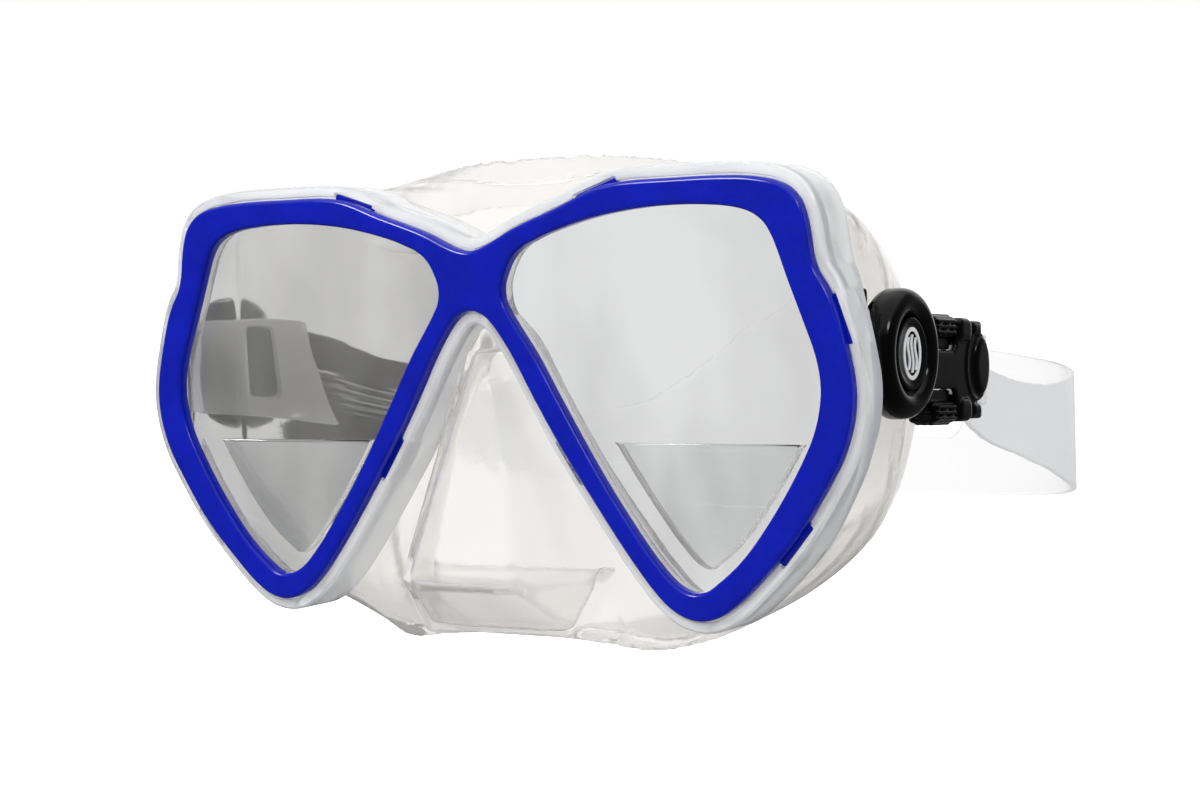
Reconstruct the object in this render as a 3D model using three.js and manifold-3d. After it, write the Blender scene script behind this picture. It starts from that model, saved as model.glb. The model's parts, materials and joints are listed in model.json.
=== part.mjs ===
// A two-window diving mask with a clear skirt and frame, a coloured bezel and swivelling strap buckles.
// Millimetres. +X is the wearer's left, -Y is the way the wearer looks, +Z is up.
// The origin is the middle of the face opening, on the line straight back from the bridge.
import * as THREE from 'three';
import { mergeVertices } from 'three/addons/utils/BufferGeometryUtils.js';
import Module from 'manifold-3d';

const wasm = await Module();
wasm.setup();

// Depths below are counted back from the lens plane, which stands this far in front of the origin.
const LENS_PLANE_Y = -40;
const GAP = 0.3;

const BEZEL_FRONT = -1.7;
const BEZEL_BACK = 0.8;
const BEZEL_BEVEL = 0.7;
const TAB_HALF_THICK = 0.9;
const TAB_LENGTH = 9;
const TAB_BACK = 4.4;

const FRAME_FRONT = 0;
const FRAME_FLOOR = BEZEL_BACK + GAP;
const FRAME_PLATE_BACK = 4.65;
const FRAME_BACK = 11;
const FRAME_RIM = 2.4;
const FRAME_WALL = 2;

const LENS_FRONT = FRAME_FLOOR;
const LENS_BACK = 4.6;
const LENS_MARGIN = 2;
const READER_TOP = -7.5;
const READER_INSET = 4;
const READER_THICK = 1.5;

const SKIRT_FRONT = LENS_BACK + 0.35;
const SKIRT_FREE = 11.6;
const SKIRT_WALL = 1.8;
const SKIRT_SIDE_LIMIT = 74.9;
const SEAT_INSET = 0.8;
const NECK_LIMIT = 66;
const NECK_SHARE = 0.135;
const TEMPLE_START_X = 64;
const TEMPLE_SPAN = 8;
const TEMPLE_PULL = 3.1;
const SKIRT_BULGE = 1.4;
const MITRE_LIMIT = 5;

const FRAME_INNER_LIMIT = 74.4;
const LUG_ROOT_X = 74.6;
const LUG_INNER_X = 66.4;
const LUG_THICK = 2;
const LUG_OUTER_X = LUG_INNER_X + LUG_THICK;
const LUG_ROOT_DEPTH = 10;
const LUG_BEND_DEPTH = 15.9;
const LUG_BACK = 36;
const LUG_LOW = -3;
const LUG_HIGH = 15;
const LUG_WINDOW_DEPTHS = [17.4, 27];
const LUG_WINDOW_HEIGHTS = [0.6, 13.6];

const PIVOT_DEPTH = 25.8;
const PIVOT_Z = 6.6;
const DROOP_DEG = 3;
const BASE_INNER_X = LUG_OUTER_X + GAP;
const BASE_OUTER_X = BASE_INNER_X + 2.2;
const CLASP_DEPTHS = [17, 33];
const CLASP_HEIGHTS = [-1.5, 14.5];
const HOOK_DEPTHS = [13.8, 21];
const HOOK_HEIGHTS = [15.3, 18.6];
const PUCK_RADIUS = 11.4;
const PUCK_INNER_X = BASE_OUTER_X + GAP;
const PUCK_OUTER_X = PUCK_INNER_X + 6.6;
const BODY_OUTER_X = PUCK_INNER_X + 4.8;
const RECESS_RADIUS = 6.9;
const RECESS_DEPTH = 1.9;
const PIN_RADIUS = 3;
const BODY_V = -2.8;
const BODY_HALF_HEIGHT = 9.3;
const ARM_INNER = 7.2;
const ARM_START = 23;
const ARM_END = 32.5;
const COVER_INNER_X = BODY_OUTER_X - 1.2;
const WEB_INNER_X = BODY_OUTER_X - 5.6;
const WEB_LENGTH = 2.4;
const WEB_LOW = 4.6;
const SPINE_INNER_X = BODY_OUTER_X - 2.6;
const BUTTON_START = 12.2;
const BUTTON_END = 22.4;
const BUTTON_INNER = 6;
const BUTTON_OUTER = 9.9;
const ROLLER_U = 32.5;
const STEM_XS = [WEB_INNER_X - 1, WEB_INNER_X + 1.8];
const STEM_US = [15.6, 18.4];
const STEM_REACH = 3.6;
const GROOVES = 4;
const GROOVE_STEP = 2.1;
const GROOVE_HALF = 0.35;
const SPRING_TURNS = 4;
const SPRING_STEPS = 56;
const SPRING_SIDES = 7;
const SPRING_WIRE = 0.28;
const SPRING_RADIUS = 1.1;
const SPRING_HALF = 2.9;
const SPRING_X = WEB_INNER_X + 0.4;
const SPRING_U = 17;
const ROLLER_X = WEB_INNER_X + 0.2;
const ROLLER_RADIUS = 2.2;
const AXLE_RADIUS = 1;
const PAWL_U = 24.2;
const PAWL_X = WEB_INNER_X + 1.8;
const PAWL_PIN_RADIUS = 0.7;
const PAWL_HALF_HEIGHT = 3.2;
const PAWL_PIN_REACH = 6.6;

const STRAP_THICK = 1.4;
const STRAP_HEIGHT = 13.6;
const STRAP_CENTRE_RADIUS = ROLLER_RADIUS + GAP + STRAP_THICK / 2;

// Half outlines as [x, z], from the middle of the top round the temple to the middle of the nose arch.
const BEZEL_HALF = [
  [0, 27.7], [3.5, 28.5], [10, 31.5], [20, 35], [30, 38.5], [45, 39.1], [55, 39], [60, 38.6],
  [65, 37.4], [68, 35.2], [69.8, 31], [71.2, 23], [74, 18], [76.5, 10], [78, 2], [77.5, -4],
  [75.5, -10], [72, -16], [66.5, -24], [60, -31], [54, -36.5], [50, -38.8], [47, -39.3],
  [43, -38.4], [39, -35.5], [33, -28.5], [25, -17.5], [18.5, -8], [13, 1], [9, 8], [5.5, 13],
  [3, 15.5], [0, 16.5],
];

// The window in the bezel over one lens, as [x, z].
const WINDOW = [
  [7.1, 21], [10, 26.6], [15, 29.3], [22, 31.5], [30, 33.2], [40, 34.2], [50, 34.1], [57, 33.2],
  [60.8, 31.6], [63, 29], [66.5, 20], [69, 13.5], [71.3, 7], [72, 1.5], [70.8, -5], [68, -11],
  [62, -20.5], [56, -28], [51, -32.3], [48, -34.1], [45, -34.1], [42, -32.6], [38, -28.6],
  [34, -23.5], [27, -13.5], [19, -0.5], [14, 8], [9.3, 14.8], [7.4, 18],
];

// Matching half rings of the skirt: [x, z] where it leaves the frame, then [x, depth, z] at the face rim
// and at the inner edge of the sealing lip.
const SKIRT_HALF = [
  { front: [0, 27.7], rim: [0, 24, 46], lip: [0, 24.5, 36] },
  { front: [10, 31.5], rim: [14, 25, 45.8], lip: [12, 25.8, 36] },
  { front: [22, 35.7], rim: [27, 28, 44.2], lip: [22.5, 28.5, 35] },
  { front: [35, 38.8], rim: [40, 32, 41.4], lip: [33, 31.5, 33] },
  { front: [48, 39], rim: [50, 38, 37.5], lip: [41.5, 36.5, 30] },
  { front: [60, 38.2], rim: [57, 43.5, 32], lip: [47, 41, 26] },
  { front: [67.5, 35.6], rim: [61, 47.5, 26.5], lip: [50.5, 44.5, 21.5] },
  { front: [70.6, 26.5], rim: [64, 50, 19], lip: [53, 46.5, 15.5] },
  { front: [74, 18], rim: [65.4, 52.3, 11], lip: [54.5, 47.5, 9] },
  { front: [77.6, 5], rim: [66.1, 53, 1], lip: [55, 48, 1] },
  { front: [77.5, -4], rim: [65.8, 52.5, -7], lip: [54.8, 47.5, -6] },
  { front: [75.5, -10], rim: [64.8, 50.9, -13.5], lip: [53.6, 46.5, -11.5] },
  { front: [71, -17.5], rim: [63, 48.5, -21], lip: [52, 45, -17.5] },
  { front: [64, -27], rim: [59.5, 45, -29], lip: [49, 42, -23.8] },
  { front: [56, -34.8], rim: [53.5, 37, -36.5], lip: [44.8, 35.5, -30] },
  { front: [49, -38.8], rim: [46.5, 30, -41.5], lip: [40.5, 30.5, -35] },
  { front: [43, -38], rim: [38, 22, -46.3], lip: [35.5, 25.5, -42] },
  { front: [36.5, -32.4], rim: [32, 17, -48], lip: [31.5, 21, -46.6] },
  { front: [29, -23], rim: [26, 14, -48.2], lip: [26, 18, -47.4] },
  { front: [21, -12], rim: [19, 13, -47.2], lip: [19, 17, -46.4] },
  { front: [13, 1], rim: [12, 12.6, -46.5], lip: [12, 16.6, -45.7] },
  { front: [7, 11.2], rim: [6, 12.4, -46], lip: [6, 16.4, -45.2] },
  { front: [0, 16.5], rim: [0, 12.4, -45.8], lip: [0, 16.4, -45] },
];

// Level cuts of the nose pocket from top to bottom: z, depth of its ridge, half width of the ridge
// and half width where it passes the back of the frame.
const NOSE_CUTS = [
  { z: 13.5, ridge: 3.5, narrow: 0.9, wide: 1.8 },
  { z: 9, ridge: -1, narrow: 2, wide: 4.9 },
  { z: 1, ridge: -2.6, narrow: 4.1, wide: 9.4 },
  { z: -8, ridge: -4.4, narrow: 6.4, wide: 14.2 },
  { z: -17.5, ridge: -6.4, narrow: 8.8, wide: 17.2 },
  { z: -28.5, ridge: -8.6, narrow: 11.6, wide: 19.8 },
  { z: -33, ridge: -9.4, narrow: 12.6, wide: 21 },
  { z: -35, ridge: -8.2, narrow: 12.6, wide: 21.4 },
  { z: -45.9, ridge: 10.6, narrow: 13.6, wide: 22 },
];

// The free run of the strap behind the buckle: [x, depth, z of its middle, height].
const STRAP_RUN = [
  [68.6, 62, 1.7, 13.7],
  [69.8, 74, -5, 14.6],
  [71.2, 88, -9, 15],
  [72.6, 101, -11.8, 17.5],
  [73, 111.5, -13.4, 22],
  [71, 120.5, -14, 26],
  [65, 128, -14.2, 29],
  [54.5, 133.8, -14, 31.5],
  [40, 138.5, -13.4, 34],
  [21, 141.5, -12.6, 37],
  [0, 142.5, -12, 38],
];
const STRAP_SLOT_HALF = 38;
const STRAP_SLOT_HEIGHT = 11;
const STRAP_SLOT_Z = -12;
const STRAP_TAIL_U = 40.5;
const STRAP_STEPS = 30;
const STRAP_LEAN_START = 62;
const STRAP_LEAN_RUN = 40;

// The rear edge of the frame is cut away at the temple, as [depth, z].
const TEMPLE_CUT = [
  [5.6, -10], [5.6, 0], [6, 8], [7, 17.5], [12, 26], [14, 26], [14, -34], [12, -34], [8, -18.5],
];
const TEMPLE_CUT_X = 55;

const BLUE = { color: '#0a22a8', roughness: 0.22, metalness: 0 };
const CLEAR = { color: '#dfe4e2', roughness: 0.15, metalness: 0 };
const SILICONE = { color: '#d9dad6', roughness: 0.4, metalness: 0 };
const GLASS = { color: '#cfe3dc', roughness: 0.05, metalness: 0 };
const BLACK = { color: '#0c0d0f', roughness: 0.25, metalness: 0 };
const STEEL = { color: '#b9bcc0', roughness: 0.3, metalness: 1 };
const EMBLEM = { color: '#c9ccd0', roughness: 0.35, metalness: 0 };

// ---------------------------------------------------------------- helpers

function depth(value) {
  return LENS_PLANE_Y + value;
}

function toSolid(geometry) {
  const bare = new THREE.BufferGeometry();
  bare.setAttribute('position', geometry.getAttribute('position').clone());
  if (geometry.index) {
    bare.setIndex(geometry.index.clone());
  }
  const merged = mergeVertices(bare, 1e-4);
  return new wasm.Manifold(new wasm.Mesh({
    numProp: 3,
    vertProperties: new Float32Array(merged.getAttribute('position').array),
    triVerts: new Uint32Array(merged.index.array),
  }));
}

function toGeometry(body) {
  const mesh = body.getMesh();
  const geometry = new THREE.BufferGeometry();
  const count = mesh.vertProperties.length / mesh.numProp;
  const positions = new Float32Array(count * 3);
  for (let i = 0; i < count; i += 1) {
    for (let k = 0; k < 3; k += 1) {
      positions[i * 3 + k] = mesh.vertProperties[i * mesh.numProp + k];
    }
  }
  geometry.setAttribute('position', new THREE.BufferAttribute(positions, 3));
  geometry.setIndex(new THREE.BufferAttribute(new Uint32Array(mesh.triVerts), 1));
  geometry.computeVertexNormals();
  return geometry;
}

// A closed solid through equal rings of points, capped at both ends.
function loft(rings) {
  const across = rings[0].length;
  const positions = [];
  const triangles = [];
  for (const ring of rings) {
    for (const point of ring) {
      positions.push(point[0], point[1], point[2]);
    }
  }
  for (let i = 0; i + 1 < rings.length; i += 1) {
    for (let j = 0; j < across; j += 1) {
      const next = (j + 1) % across;
      const a = i * across + j;
      const b = i * across + next;
      triangles.push(a, b, a + across, b, b + across, a + across);
    }
  }
  for (const [index, flip] of [[0, true], [rings.length - 1, false]]) {
    for (const corner of capTriangles(rings[index])) {
      const [a, b, c] = corner.map((k) => index * across + k);
      triangles.push(...(flip ? [c, b, a] : [a, b, c]));
    }
  }
  const geometry = new THREE.BufferGeometry();
  geometry.setAttribute('position', new THREE.BufferAttribute(new Float32Array(positions), 3));
  geometry.setIndex(facingOut(positions, triangles));
  return toSolid(geometry);
}

// Fills a ring, seen along the axis it faces most, wound the same way as the ring.
function capTriangles(ring) {
  const facing = new THREE.Vector3();
  ring.forEach((point, i) => {
    const next = ring[(i + 1) % ring.length];
    facing.add(new THREE.Vector3(...point).cross(new THREE.Vector3(...next)));
  });
  const sizes = facing.toArray().map(Math.abs);
  const thin = sizes.indexOf(Math.max(...sizes));
  const [p, q] = [0, 1, 2].filter((k) => k !== thin);
  const contour = ring.map((point) => new THREE.Vector2(point[p], point[q]));
  const clockwise = THREE.ShapeUtils.isClockWise(contour);
  const faces = THREE.ShapeUtils.triangulateShape(contour, []);
  return faces.map((face) => {
    const corners = face.map((k) => contour[k]);
    return THREE.ShapeUtils.isClockWise(corners) === clockwise ? face : [...face].reverse();
  });
}

function facingOut(positions, triangles) {
  const at = (i) => new THREE.Vector3(positions[i * 3], positions[i * 3 + 1], positions[i * 3 + 2]);
  let volume = 0;
  for (let t = 0; t < triangles.length; t += 3) {
    volume += at(triangles[t]).dot(at(triangles[t + 1]).cross(at(triangles[t + 2])));
  }
  if (volume > 0) {
    return triangles;
  }
  const turned = [];
  for (let t = 0; t < triangles.length; t += 3) {
    turned.push(triangles[t], triangles[t + 2], triangles[t + 1]);
  }
  return turned;
}

function mirrorHalf(half) {
  const back = half.slice(1, -1).reverse().map(([x, z]) => [-x, z]);
  return [...half, ...back];
}

function smoothLoop(points, count) {
  const knots = points.map(([x, y]) => new THREE.Vector3(x, y, 0));
  const curve = new THREE.CatmullRomCurve3(knots, true, 'centripetal');
  curve.arcLengthDivisions = 600;
  return curve.getSpacedPoints(count).slice(0, count).map((p) => [p.x, p.y]);
}

function signedArea(points) {
  return points.reduce((sum, [x, y], i) => {
    const [u, v] = points[(i + 1) % points.length];
    return sum + (x * v - u * y) / 2;
  }, 0);
}

// Moves a closed outline outwards by a distance, or inwards by a negative one.
function offset(points, distance) {
  const side = signedArea(points) > 0 ? 1 : -1;
  const count = points.length;
  return points.map(([x, y], i) => {
    const before = points[(i + count - 1) % count];
    const after = points[(i + 1) % count];
    const run = [after[0] - before[0], after[1] - before[1]];
    const size = Math.hypot(run[0], run[1]);
    return [x + (side * distance * run[1]) / size, y - (side * distance * run[0]) / size];
  });
}

function limitSides(points, limit) {
  return points.map(([x, y]) => [Math.max(-limit, Math.min(limit, x)), y]);
}

function flat(points, holes = []) {
  const shape = new THREE.Shape(points.map(([x, y]) => new THREE.Vector2(x, y)));
  for (const hole of holes) {
    shape.holes.push(new THREE.Path(hole.map(([x, y]) => new THREE.Vector2(x, y))));
  }
  return shape;
}

// A flat outline in X and Z given thickness along the depth.
function slab(points, front, back, holes = []) {
  const options = { depth: back - front, bevelEnabled: false };
  const geometry = new THREE.ExtrudeGeometry(flat(points, holes), options);
  geometry.rotateX(Math.PI / 2);
  geometry.translate(0, depth(back), 0);
  return toSolid(geometry);
}

// A flat outline in the buckle's own length and height given thickness along X.
function plate(points, innerX, outerX) {
  const options = { depth: outerX - innerX, bevelEnabled: false };
  const geometry = new THREE.ExtrudeGeometry(flat(points), options);
  const turn = new THREE.Matrix4().makeBasis(
    new THREE.Vector3(0, 1, 0),
    new THREE.Vector3(0, 0, 1),
    new THREE.Vector3(1, 0, 0),
  );
  geometry.applyMatrix4(turn);
  geometry.translate(innerX, 0, 0);
  return toSolid(geometry);
}

// A flat outline in X and depth given height along Z.
function upright(points, low, high) {
  const options = { depth: high - low, bevelEnabled: false };
  const geometry = new THREE.ExtrudeGeometry(flat(points.map(([x, at]) => [x, depth(at)])), options);
  geometry.translate(0, 0, low);
  return toSolid(geometry);
}

function box(low, high) {
  const geometry = new THREE.BoxGeometry(high[0] - low[0], high[1] - low[1], high[2] - low[2]);
  const middle = low.map((value, k) => (value + high[k]) / 2);
  geometry.translate(middle[0], middle[1], middle[2]);
  return toSolid(geometry);
}

function depthBox(xs, depths, zs) {
  return box([xs[0], depth(depths[0]), zs[0]], [xs[1], depth(depths[1]), zs[1]]);
}

function circle(radius, count, centre = [0, 0]) {
  const points = [];
  for (let i = 0; i < count; i += 1) {
    const turn = (2 * Math.PI * i) / count;
    points.push([centre[0] + radius * Math.cos(turn), centre[1] + radius * Math.sin(turn)]);
  }
  return points;
}

function uprightCylinder(radius, low, high, centre, sides) {
  const geometry = new THREE.CylinderGeometry(radius, radius, high - low, sides);
  geometry.rotateX(Math.PI / 2);
  geometry.translate(centre[0], centre[1], (low + high) / 2);
  return toSolid(geometry);
}

function joinAll(bodies) {
  return bodies.reduce((whole, body) => whole.add(body));
}

function bothSides(body) {
  return body.add(body.mirror([1, 0, 0]));
}

function droop(body) {
  return body.rotate([-DROOP_DEG, 0, 0]).translate([0, depth(PIVOT_DEPTH), PIVOT_Z]);
}

// ---------------------------------------------------------------- outlines

const bezelOutline = smoothLoop(mirrorHalf(BEZEL_HALF), 150);
const windowOutline = smoothLoop(WINDOW, 72);
const mirroredWindow = windowOutline.map(([x, z]) => [-x, z]);

// ---------------------------------------------------------------- front parts

// Where the bezel clips into the frame, with the direction of the edge there.
const TAB_SPOTS = [
  { at: [27.5, 37.6], along: [9, 3], back: TAB_BACK },
  { at: [75.3, 13.6], along: [3, -8.6], back: TAB_BACK - 0.6 },
  { at: [65.6, -25.2], along: [-6.3, -7.6], back: TAB_BACK },
  { at: [20.6, -11.2], along: [-5.5, 8.4], back: TAB_BACK },
];

function tab(spot, grow, front, back) {
  const size = Math.hypot(spot.along[0], spot.along[1]);
  const run = [spot.along[0] / size, spot.along[1] / size];
  const long = TAB_LENGTH / 2 + grow;
  const thick = TAB_HALF_THICK + grow;
  const corner = (a, b) => [
    spot.at[0] + a * long * run[0] - b * thick * run[1],
    spot.at[1] + a * long * run[1] + b * thick * run[0],
  ];
  return slab([corner(-1, -1), corner(1, -1), corner(1, 1), corner(-1, 1)], front, back);
}

// An outline in X and Z carried through several depths, each with its own offset.
function steppedSlab(outline, steps) {
  return loft(steps.map(([grow, at]) => offset(outline, grow).map(([x, z]) => [x, depth(at), z])));
}

function bezel() {
  const body = steppedSlab(bezelOutline, [
    [-BEZEL_BEVEL, BEZEL_FRONT],
    [0, BEZEL_FRONT + BEZEL_BEVEL],
    [0, BEZEL_BACK],
  ]);
  const hole = steppedSlab(windowOutline, [
    [BEZEL_BEVEL * 2, BEZEL_FRONT - BEZEL_BEVEL],
    [0, BEZEL_FRONT + BEZEL_BEVEL],
    [0, BEZEL_BACK + 1],
  ]);
  const tabs = TAB_SPOTS.map((spot) => bothSides(tab(spot, 0, FRAME_FRONT, spot.back)));
  return joinAll([body, ...tabs]).subtract(bothSides(hole));
}

function lens() {
  return slab(offset(windowOutline, LENS_MARGIN), LENS_FRONT, LENS_BACK);
}

function readerLens() {
  const front = LENS_BACK + GAP;
  const whole = slab(offset(windowOutline, -READER_INSET), front, front + READER_THICK);
  return whole.intersect(depthBox([0, 80], [front - 1, front + 4], [-60, READER_TOP]));
}

// The lug leaves the frame outside the lens and bends in to lie along the skirt.
function lug() {
  const outline = [
    [LUG_ROOT_X, FRAME_PLATE_BACK - 0.5], [LUG_ROOT_X, LUG_ROOT_DEPTH], [LUG_INNER_X, LUG_BEND_DEPTH],
    [LUG_INNER_X, LUG_BACK], [LUG_OUTER_X, LUG_BACK], [LUG_OUTER_X, LUG_BEND_DEPTH + GAP],
    [LUG_ROOT_X + LUG_THICK, LUG_ROOT_DEPTH + GAP], [LUG_ROOT_X + LUG_THICK, FRAME_PLATE_BACK - 0.5],
  ];
  const window = depthBox([LUG_INNER_X - 1, LUG_OUTER_X + 1], LUG_WINDOW_DEPTHS, LUG_WINDOW_HEIGHTS);
  return upright(outline, LUG_LOW, LUG_HIGH).subtract(window);
}

function frame() {
  const outer = offset(bezelOutline, FRAME_RIM);
  const inner = limitSides(offset(bezelOutline, FRAME_RIM - FRAME_WALL), FRAME_INNER_LIMIT);
  const templeCut = plate(TEMPLE_CUT.map(([at, z]) => [depth(at), z]), TEMPLE_CUT_X, 90);
  const cuts = [
    slab(offset(bezelOutline, GAP), FRAME_FRONT - 1, FRAME_FLOOR),
    slab(inner, FRAME_PLATE_BACK, FRAME_BACK + 1),
    bothSides(slab(offset(windowOutline, LENS_MARGIN + GAP), FRAME_FRONT - 1, FRAME_BACK)),
    bothSides(templeCut),
    ...TAB_SPOTS.map((spot) => bothSides(tab(spot, GAP, FRAME_FRONT - 1, TAB_BACK + 1.5))),
  ];
  return slab(outer, FRAME_FRONT, FRAME_BACK).subtract(joinAll(cuts)).add(bothSides(lug()));
}

// ---------------------------------------------------------------- skirt

function skirtRing(pick) {
  const half = SKIRT_HALF.map(pick);
  const back = half.slice(1, -1).reverse().map(([x, y, z]) => [-x, y, z]);
  const knots = [...half, ...back].map(([x, y, z]) => new THREE.Vector3(x, y, z));
  const curve = new THREE.CatmullRomCurve3(knots, true, 'centripetal');
  return curve.getPoints(knots.length * 3).slice(0, -1).map((p) => [p.x, p.y, p.z]);
}

// Moves a ring in X and Z only, away from its middle for a positive distance.
function grownRing(ring, distance) {
  const outline = offset(ring.map(([x, , z]) => [x, z]), distance);
  return ring.map((p, i) => [outline[i][0], p[1], outline[i][1]]);
}

// At the temple the skirt turns in sooner, to pass inside the lug.
function freeRing() {
  const even = skirtRing(({ front: [x, z] }) => {
    const pull = Math.max(0, Math.min(1, (x - TEMPLE_START_X) / TEMPLE_SPAN));
    return [Math.min(x, SKIRT_SIDE_LIMIT), depth(SKIRT_FREE - TEMPLE_PULL * pull), z];
  });
  return grownRing(even, -SEAT_INSET);
}

function narrowed(ring) {
  return ring.map(([x, y, z]) => [Math.max(-NECK_LIMIT, Math.min(NECK_LIMIT, x)), y, z]);
}

// Rings of the skirt's outer surface, from the lens seat back to the sealing lip.
function skirtRings() {
  const start = skirtRing(({ front: [x, z] }) => [Math.min(x, SKIRT_SIDE_LIMIT), depth(SKIRT_FRONT), z]);
  const free = freeRing();
  const rim = skirtRing(({ rim: [x, y, z] }) => [x, depth(y), z]);
  const rings = [grownRing(start, -SEAT_INSET), free];
  for (const share of [NECK_SHARE, 0.25, 0.5, 0.75]) {
    const even = free.map((p, i) => p.map((value, k) => value + (rim[i][k] - value) * share));
    rings.push(narrowed(grownRing(even, SKIRT_BULGE * Math.sin(Math.PI * share))));
  }
  rings.push(rim, skirtRing(({ lip: [x, y, z] }) => [x, depth(y), z]));
  return rings;
}

// The direction into the skirt from each point of the band between two rings.
function bandNormals(ring, next) {
  return ring.map((point, j) => {
    const before = new THREE.Vector3(...ring[(j + ring.length - 1) % ring.length]);
    const along = new THREE.Vector3(...ring[(j + 1) % ring.length]).sub(before);
    const across = new THREE.Vector3(...next[j]).sub(new THREE.Vector3(...point));
    return along.cross(across).normalize().negate();
  });
}

// Moves every ring into the skirt by one wall thickness, mitred where two bands meet.
function insetRings(rings, thick) {
  const bands = rings.slice(0, -1).map((ring, i) => bandNormals(ring, rings[i + 1]));
  return rings.map((ring, i) => ring.map((point, j) => {
    const first = i === 0 ? new THREE.Vector3(0, 1, 0) : bands[i - 1][j];
    const second = i === bands.length ? first : bands[i][j];
    const both = first.clone().add(second);
    const share = Math.min(1 / (1 + first.dot(second)), MITRE_LIMIT);
    return new THREE.Vector3(...point).addScaledVector(both, thick * share).toArray();
  }));
}

function skirtOutside() {
  const rings = skirtRings();
  const lip = rings[rings.length - 1];
  const rim = rings[rings.length - 2];
  const deeper = lip.map((p, j) => p.map((value, k) => value + (value - rim[j][k]) * 0.3));
  return loft([...rings.slice(0, -1), deeper]);
}

function skirtInside() {
  const rings = insetRings(skirtRings(), SKIRT_WALL);
  const lip = rings[rings.length - 1];
  return loft([...rings, lip.map(([x, , z]) => [x, depth(80), z])]);
}

function levelRing(half, z) {
  const other = half.slice(1).reverse().map(([x, y]) => [-x, y]);
  return [...half, ...other].map(([x, y]) => [x, depth(y), z]);
}

function noseRidge({ ridge, narrow }, inset) {
  const half = Math.max(0.8, narrow - inset * 0.6);
  return [[0, ridge + inset], [half * 0.6, ridge + inset], [half, ridge + inset + 0.8]];
}

// The nose pocket from its ridge back past the frame, where it widens to meet the skirt.
function noseBody(inset, cuts, back) {
  return loft(cuts.map((cut) => {
    const wide = cut.wide - inset;
    const sides = [[wide, FRAME_BACK + 0.4], [wide + 2.4, FRAME_BACK + 3.2], [wide + 2.4, back]];
    return levelRing([...noseRidge(cut, inset), ...sides], cut.z);
  }));
}

// The hollow over the floor of the pocket stops short of the lip that seals under the nose.
const NOSE_FLOOR = [
  { z: -31, ridge: -9, narrow: 12.2, wide: 20.4 },
  { z: -33.2, ridge: -9.2, narrow: 12.6, wide: 21 },
  { z: -43.6, ridge: 7.4, narrow: 13.4, wide: 21.6 },
];
const NOSE_FLOOR_BACK = 11.4;

function noseFloorHollow() {
  return loft(NOSE_FLOOR.map((cut) => {
    const wide = cut.wide - SKIRT_WALL;
    return levelRing([...noseRidge(cut, SKIRT_WALL), [wide, NOSE_FLOOR_BACK]], cut.z);
  }));
}

function skirt() {
  const nose = noseBody(0, NOSE_CUTS, 15.5);
  const hollow = noseBody(SKIRT_WALL, NOSE_CUTS.slice(1, 7), 38);
  const windows = bothSides(slab(offset(windowOutline, 0.5), SKIRT_FRONT - 2, SKIRT_FRONT + 4));
  const cuts = joinAll([skirtInside(), hollow, noseFloorHollow(), windows]);
  return skirtOutside().add(nose).subtract(cuts);
}

// ---------------------------------------------------------------- buckle, built for the wearer's left

function buckleBase() {
  const xs = [BASE_INNER_X, BASE_OUTER_X];
  const clasp = depthBox(xs, CLASP_DEPTHS, CLASP_HEIGHTS);
  const hook = depthBox(xs, HOOK_DEPTHS, HOOK_HEIGHTS);
  const bridge = depthBox(xs, [CLASP_DEPTHS[0], HOOK_DEPTHS[1]], [CLASP_HEIGHTS[1] - 1, HOOK_HEIGHTS[1]]);
  const keyDepths = [LUG_WINDOW_DEPTHS[0] + GAP, LUG_WINDOW_DEPTHS[1] - GAP];
  const keyHeights = [LUG_WINDOW_HEIGHTS[0] + GAP, LUG_WINDOW_HEIGHTS[1] - GAP];
  const key = depthBox([LUG_INNER_X + GAP, BASE_INNER_X + GAP], keyDepths, keyHeights);
  return joinAll([clasp, hook, bridge, key]).subtract(pivotHole(PIN_RADIUS - 0.6));
}

// A blind hole, so that the base closes the lug's window behind the pin.
function pivotHole(radius) {
  const hole = plate(circle(radius, 24), BASE_INNER_X + GAP, PUCK_OUTER_X + 1);
  return hole.translate([0, depth(PIVOT_DEPTH), PIVOT_Z]);
}

function pivotPin() {
  const end = PUCK_OUTER_X - RECESS_DEPTH;
  const shank = plate(circle(PIN_RADIUS - 0.9, 24), BASE_INNER_X + 2 * GAP, end);
  const collar = plate(circle(PIN_RADIUS, 24), PUCK_INNER_X, end);
  return shank.add(collar).translate([0, depth(PIVOT_DEPTH), PIVOT_Z]);
}

function armOutline(side) {
  const near = BODY_V + side * ARM_INNER;
  const far = BODY_V + side * BODY_HALF_HEIGHT;
  return [[ARM_START, near], [ARM_END + 2.4, near], [ARM_END + 2.4, far - side * 0.9],
    [ARM_END + 1.4, far], [ARM_START, far]];
}

// The cover narrows behind the puck, widens over the arms and ends in a half round.
const COVER_NARROW = 4;
const COVER_WIDE = ARM_INNER + 1;
const COVER_STEP_U = 27.5;
const COVER_END = { centre: [32.6, BODY_V + 0.8], reach: [5.6, 6.2], steps: 12 };

function coverOutline() {
  const lower = [
    [8, BODY_V - COVER_NARROW], [ARM_START, BODY_V - COVER_NARROW],
    [ARM_START, BODY_V - COVER_WIDE], [COVER_STEP_U, BODY_V - COVER_WIDE],
  ];
  const end = [];
  for (let i = 0; i <= COVER_END.steps; i += 1) {
    const turn = -Math.PI / 2 + (Math.PI * i) / COVER_END.steps;
    const [u, v] = COVER_END.centre;
    end.push([u + COVER_END.reach[0] * Math.cos(turn), v + COVER_END.reach[1] * Math.sin(turn)]);
  }
  const upper = lower.map(([u, v]) => [u, 2 * BODY_V - v]).reverse();
  return [...lower, ...end, ...upper];
}

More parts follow.
